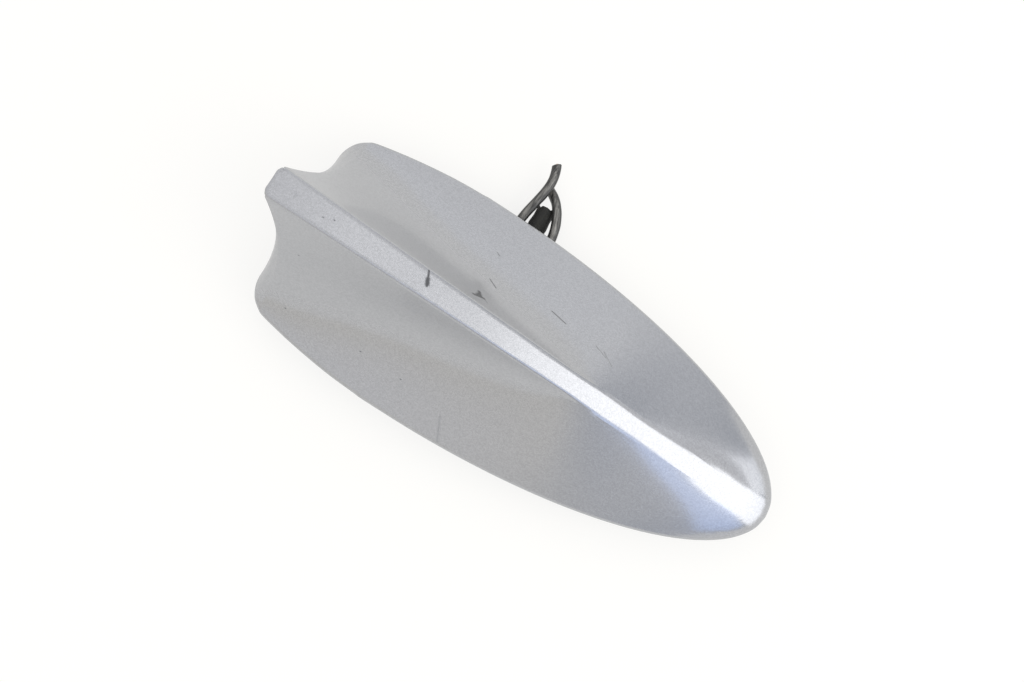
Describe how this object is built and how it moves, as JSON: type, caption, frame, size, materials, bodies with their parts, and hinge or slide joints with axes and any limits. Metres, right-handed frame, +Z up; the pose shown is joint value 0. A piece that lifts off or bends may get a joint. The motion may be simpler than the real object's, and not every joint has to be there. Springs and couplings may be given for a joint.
{
  "type": "gps antenna",
  "caption": "Silver fin-shaped car roof antenna with a flat crest and hollow flanks, a cast base with a fixing spigot, a rubber gasket and short cut leads.",
  "frame": {"origin": "on the axis of the fixing thread, in the plane of the roof, which is the gasket's underside", "axes": "+X towards the nose of the fin, +Y to its left, +Z up from the roof"},
  "size_m": [0.1602, 0.0884, 0.0657],
  "materials": {
    "silver_paint": "metallic silver paint under clear lacquer on moulded plastic",
    "cast_alloy": "raw die casting",
    "black_rubber": "matt",
    "zinc_steel": "zinc plated",
    "board_laminate": "solder mask on glass laminate",
    "tinned_steel": "tinned sheet",
    "adhesive_pad": "foam tape",
    "patch_ceramic": "fired ceramic with a silver face",
    "plated_brass": "plated",
    "black_nylon": "moulded",
    "lead_jacket": "smooth soft plastic jacket",
    "matt_sheath": "matt"
  },
  "bodies": {
    "root": {"fin_cover": "silver_paint", "base_plate": "cast_alloy", "roof_gasket": "black_rubber", "lead_grommet": "black_rubber", "cover_screws": "zinc_steel", "gps_board_screws": "zinc_steel", "holder_screws": "zinc_steel", "gps_board": "board_laminate", "phone_board": "board_laminate", "gps_shield_can": "tinned_steel", "gps_patch_pad": "adhesive_pad", "gps_patch": "patch_ceramic", "gps_feed_pin": "plated_brass", "phone_board_holder": "black_nylon", "phone_lead_stub": "lead_jacket", "gps_lead_stub": "lead_jacket", "sheathed_lead_stub": "matt_sheath", "gps_lead_inner": "lead_jacket", "phone_lead_inner": "lead_jacket", "sheathed_lead_inner": "lead_jacket"}
  },
  "joints": []
}
